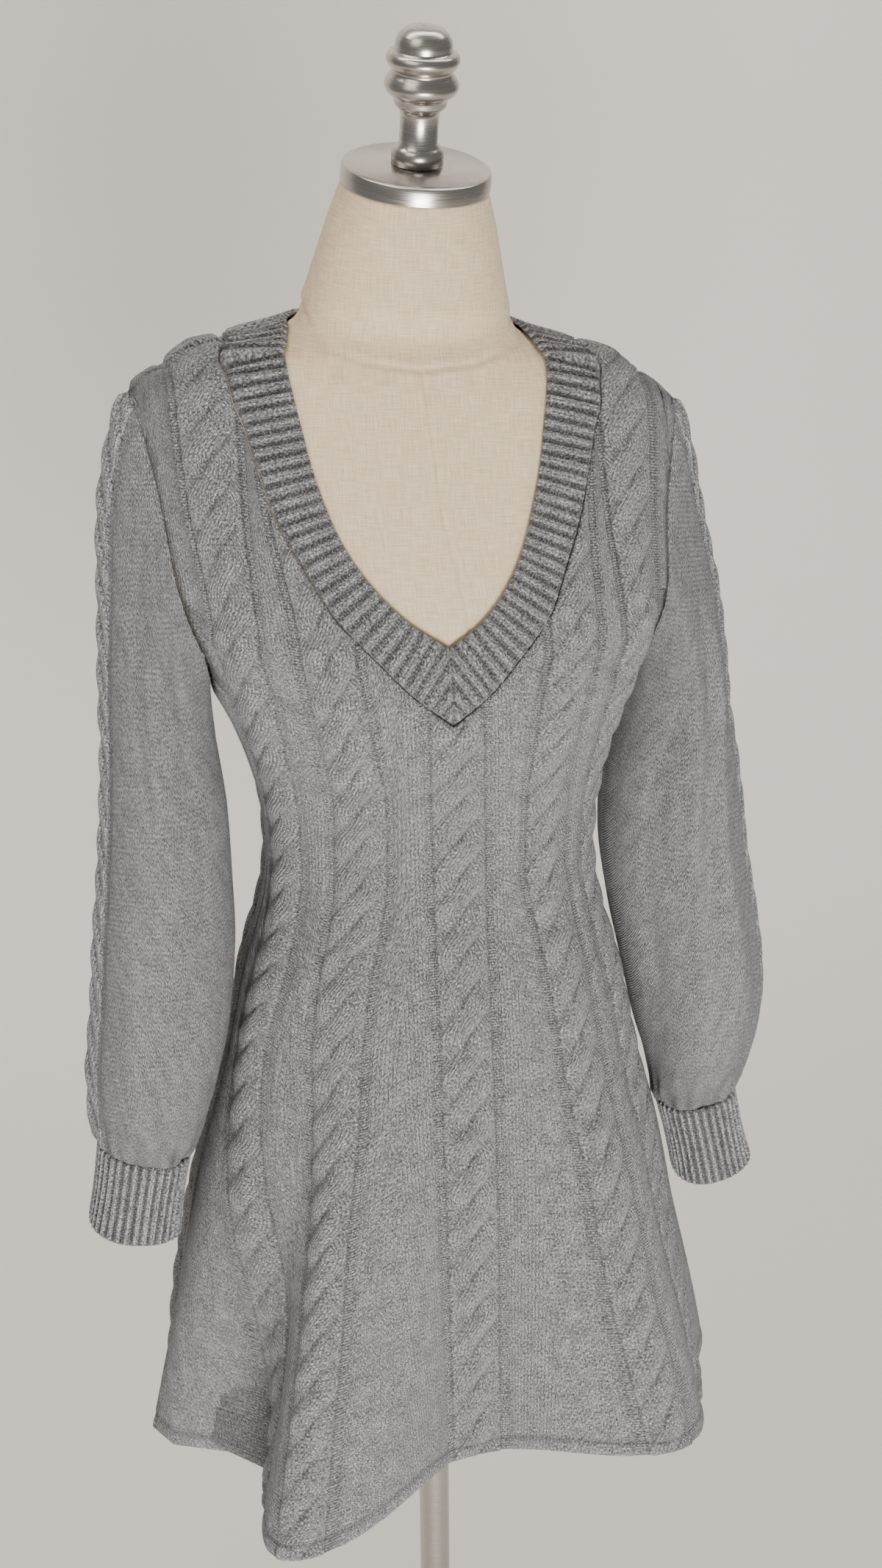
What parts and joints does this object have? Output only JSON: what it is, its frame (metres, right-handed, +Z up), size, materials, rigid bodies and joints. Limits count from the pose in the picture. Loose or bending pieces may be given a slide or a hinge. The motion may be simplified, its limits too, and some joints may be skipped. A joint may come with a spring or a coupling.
{
  "type": "sweater dress on a limbless dress form",
  "caption": "Cable-knit sweater dress with a ribbed V-neck, long balloon sleeves and a flared skirt, worn by a limbless dress form on a pole and round base.",
  "frame": {"origin": "centre of the underside of the base plate, on the pole's axis", "axes": "+Z up along the pole, -Y to the front of the dress, +X to the left side of the dress, which is the right of the picture"},
  "size_m": [0.5525, 0.4521, 1.5492],
  "materials": {
    "wool": "mid-grey heather wool, cable knit, brushed",
    "wool_rib": "mid-grey heather wool, ribbed",
    "linen": "natural cream linen, plain weave, stretched over the form",
    "steel": "satin brushed"
  },
  "bodies": {
    "root": {"front_panel": "wool", "back_panel": "wool", "left_sleeve": "wool", "right_sleeve": "wool", "neckband": "wool_rib", "left_cuff": "wool_rib", "right_cuff": "wool_rib", "form_torso": "linen", "neck_cap": "steel", "finial": "steel", "pole": "steel", "base_plate": "steel"}
  },
  "joints": []
}
